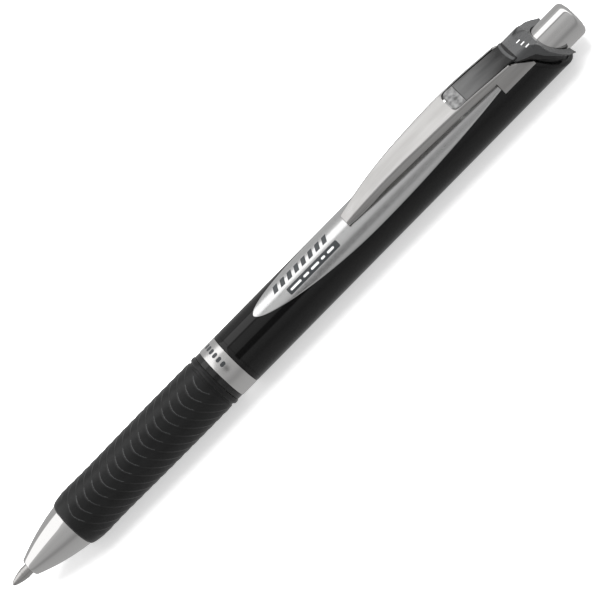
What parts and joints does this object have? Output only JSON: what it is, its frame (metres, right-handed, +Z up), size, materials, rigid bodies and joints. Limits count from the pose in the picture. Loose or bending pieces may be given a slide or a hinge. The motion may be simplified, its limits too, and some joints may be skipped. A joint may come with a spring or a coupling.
{
  "type": "gel pen",
  "caption": "Retractable gel pen with a ridged rubber grip, a metal nose and push button, a steel pocket clip and a refill with its click mechanism.",
  "frame": {"origin": "under the middle of the pen's length, on the surface that it lies on", "axes": "+X along the pen from the writing point to the push button, +Z up through the clip, +Y across"},
  "size_m": [0.145, 0.0112, 0.0148],
  "materials": {
    "nose_chrome": "satin chrome plate on brass",
    "dark_tube": "moulded, glossy",
    "grip_rubber": "soft moulded ridges",
    "band_silver": "bright silver",
    "barrel_smoke": "polished, very dark smoke",
    "inlay_silver": "bright silver foil plate",
    "clip_steel": "satin pressed sheet",
    "cap_smoke": "polished translucent smoke",
    "button_chrome": "satin chrome plate",
    "mechanism_plastic": "natural acetal",
    "rotor_plastic": "moulded acetal",
    "ball_metal": "polished hard metal",
    "point_metal": "turned nickel silver",
    "holder_plastic": "natural translucent",
    "tube_clear": "clear tube",
    "ink_gel": "black gel",
    "grease": "clear grease",
    "plug_plastic": "moulded",
    "spring_steel": "bright wire"
  },
  "bodies": {
    "barrel": {"barrel": "barrel_smoke", "front_tube": "dark_tube", "grip_sleeve": "grip_rubber", "trim_band": "band_silver", "inlay_plate": "inlay_silver", "clip_root": "clip_steel", "tail_cap": "cap_smoke", "cam_guide": "mechanism_plastic"},
    "clip": {"clip_arm": "clip_steel"},
    "button": {"plunger": "button_chrome", "thrust_tube": "mechanism_plastic"},
    "rotor": {"rotor": "rotor_plastic"},
    "refill": {"refill_point": "point_metal", "refill_holder": "holder_plastic", "ink_tube": "tube_clear", "ink": "ink_gel", "grease_follower": "grease", "refill_plug": "plug_plastic"},
    "ball": {"refill_ball": "ball_metal"},
    "spring": {"return_spring": "spring_steel"},
    "nose": {"nose_cone": "nose_chrome"}
  },
  "joints": [
    {"name": "click", "type": "slide", "parent": "barrel", "child": "button", "axis": [1, 0, 0], "range_m": [-0.0012, 0.0055], "deforming": ["return_spring"]},
    {"name": "rotor_travel", "type": "slide", "parent": "barrel", "child": "rotor", "axis": [1, 0, 0], "range_m": [-0.0012, 0.0055]},
    {"name": "refill_travel", "type": "slide", "parent": "barrel", "child": "refill", "axis": [1, 0, 0], "range_m": [-0.0012, 0.0055]},
    {"name": "ball_roll", "type": "hinge", "parent": "refill", "child": "ball", "pos_m": [-0.07215, 0, 0.00565], "axis": [0, 1, 0], "continuous": true},
    {"name": "clip_flex", "type": "hinge", "parent": "barrel", "child": "clip", "pos_m": [0.0536, 0, 0.01363], "axis": [0, 1, 0], "range_deg": [0, 4], "stiffness_Nm_per_rad": 2},
    {"name": "nose_advance", "type": "slide", "parent": "barrel", "child": "spring", "axis": [-1, 0, 0], "range_m": [0, 0.007]},
    {"name": "nose_unscrew", "type": "hinge", "parent": "spring", "child": "nose", "pos_m": [-0.0625, 0, 0.00565], "axis": [-1, 0, 0], "range_deg": [0, 2520]}
  ],
  "couplings": [
    {"joint": "rotor_travel", "follows": "click", "ratio": 1},
    {"joint": "refill_travel", "follows": "click", "ratio": 1},
    {"joint": "nose_unscrew", "follows": "nose_advance", "rad_per_m": 6283.2}
  ]
}
